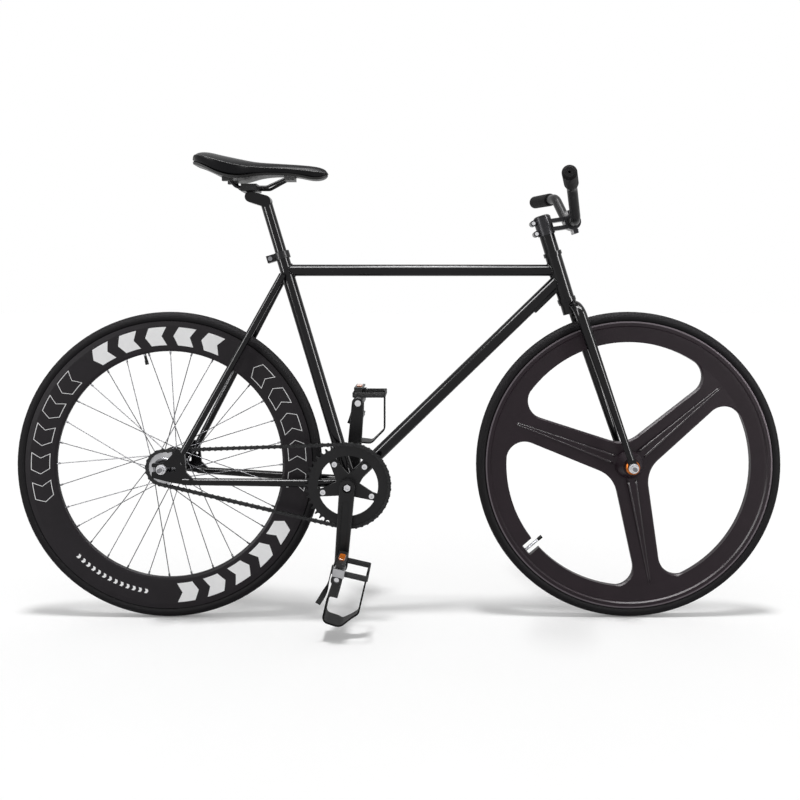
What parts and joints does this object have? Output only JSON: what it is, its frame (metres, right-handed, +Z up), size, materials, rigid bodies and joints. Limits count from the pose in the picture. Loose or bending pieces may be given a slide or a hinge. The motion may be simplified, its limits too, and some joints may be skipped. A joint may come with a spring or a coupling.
{
  "type": "fixed gear bike",
  "caption": "Track bicycle with a cast bladed front wheel, deep-rim spoked rear wheel, fixed chain drive, riser bar, flat pedals with toe clips and straps, and a slim saddle; no brakes.",
  "frame": {"origin": "on the ground, midway between the two axles and on the frame's middle plane", "axes": "+X forward along the bike, +Y to the rider's left, +Z up"},
  "size_m": [1.6736, 0.524, 1.017],
  "materials": {
    "frame_paint": "gloss black paint",
    "black_alloy": "satin black anodised",
    "bright_steel": "bright plated steel",
    "black_steel": "black steel",
    "casting": "satin black composite with machined rim bands",
    "tyre": "matte black rubber",
    "tube_rubber": "black rubber with a metal valve",
    "grip_rubber": "dark grey ribbed rubber",
    "orange_alloy": "orange anodised",
    "saddle_cover": "smooth glossy black cover",
    "black_plastic": "black moulded plastic",
    "strap_webbing": "black webbing"
  },
  "bodies": {
    "frame": {"head_tube": "frame_paint", "top_tube": "frame_paint", "down_tube": "frame_paint", "seat_tube": "frame_paint", "bottom_bracket_shell": "frame_paint", "chain_stays": "frame_paint", "seat_stays": "frame_paint", "rear_dropouts": "frame_paint", "seat_clamp": "black_alloy", "seat_clamp_bolt": "bright_steel", "headset_cups": "black_alloy", "bottom_bracket_cups": "black_alloy", "rear_axle": "bright_steel", "rear_axle_nuts": "bright_steel", "chain": "black_steel"},
    "seatpost": {"seatpost": "black_alloy"},
    "saddle": {"saddle_clamp": "black_alloy", "saddle_clamp_bolt": "bright_steel", "saddle_rails": "black_steel", "saddle_shell": "black_plastic", "saddle_pad": "saddle_cover"},
    "steering": {"fork_steerer": "frame_paint", "fork_blades": "frame_paint", "headset_bearings": "bright_steel", "headset_spacers": "black_alloy", "stem_body": "black_alloy", "stem_faceplate": "black_alloy", "stem_bolts": "bright_steel", "handlebar": "black_alloy", "grips": "grip_rubber", "front_axle": "bright_steel", "front_axle_nuts": "bright_steel", "front_axle_end_caps": "orange_alloy"},
    "front_wheel": {"front_wheel_casting": "casting", "front_hub_bearings": "bright_steel", "front_tyre": "tyre", "front_inner_tube": "tube_rubber"},
    "rear_wheel": {"rear_hub": "black_alloy", "rear_hub_bearings": "bright_steel", "rear_cog": "bright_steel", "cog_lockring": "bright_steel", "rear_spokes": "black_steel", "rear_rim": "black_alloy", "rear_tyre": "tyre", "rear_inner_tube": "tube_rubber"},
    "crank": {"right_crank": "black_alloy", "left_crank": "black_alloy", "chainring": "black_alloy", "chainring_bolts": "bright_steel", "bottom_bracket_spindle": "bright_steel", "crank_bolts": "bright_steel", "pedal_spindles": "bright_steel"},
    "right_pedal": {"right_pedal_body": "black_plastic", "right_pedal_toe_clip": "black_plastic", "right_pedal_toe_strap": "strap_webbing", "right_pedal_strap_buckle": "bright_steel"},
    "left_pedal": {"left_pedal_body": "black_plastic", "left_pedal_toe_clip": "black_plastic", "left_pedal_toe_strap": "strap_webbing", "left_pedal_strap_buckle": "bright_steel"}
  },
  "joints": [
    {"name": "steering_turn", "type": "hinge", "parent": "frame", "child": "steering", "pos_m": [0.48035, 0, 0.32713], "axis": [-0.2924, 0, 0.9563], "range_deg": [-90, 90]},
    {"name": "front_wheel_spin", "type": "hinge", "parent": "steering", "child": "front_wheel", "pos_m": [0.50282, 0, 0.334], "axis": [0, 1, 0], "continuous": true},
    {"name": "rear_wheel_spin", "type": "hinge", "parent": "frame", "child": "rear_wheel", "pos_m": [-0.50282, 0, 0.334], "axis": [0, 1, 0], "continuous": true},
    {"name": "crank_spin", "type": "hinge", "parent": "frame", "child": "crank", "pos_m": [-0.10817, 0, 0.2951], "axis": [0, 1, 0], "continuous": true, "deforming": ["chain"]},
    {"name": "right_pedal_spin", "type": "hinge", "parent": "crank", "child": "right_pedal", "pos_m": [-0.12112, -0.12, 0.13061], "axis": [0, 1, 0], "continuous": true},
    {"name": "left_pedal_spin", "type": "hinge", "parent": "crank", "child": "left_pedal", "pos_m": [-0.09523, 0.12, 0.45959], "axis": [0, 1, 0], "continuous": true},
    {"name": "seatpost_slide", "type": "slide", "parent": "frame", "child": "seatpost", "axis": [-0.2874, 0, 0.9578], "range_m": [-0.08, 0.04]},
    {"name": "saddle_tilt", "type": "hinge", "parent": "seatpost", "child": "saddle", "pos_m": [-0.32466, 0, 0.91952], "axis": [0, 1, 0], "range_deg": [-8, 8]}
  ],
  "couplings": [
    {"joint": "rear_wheel_spin", "follows": "crank_spin", "ratio": 2.4444}
  ]
}
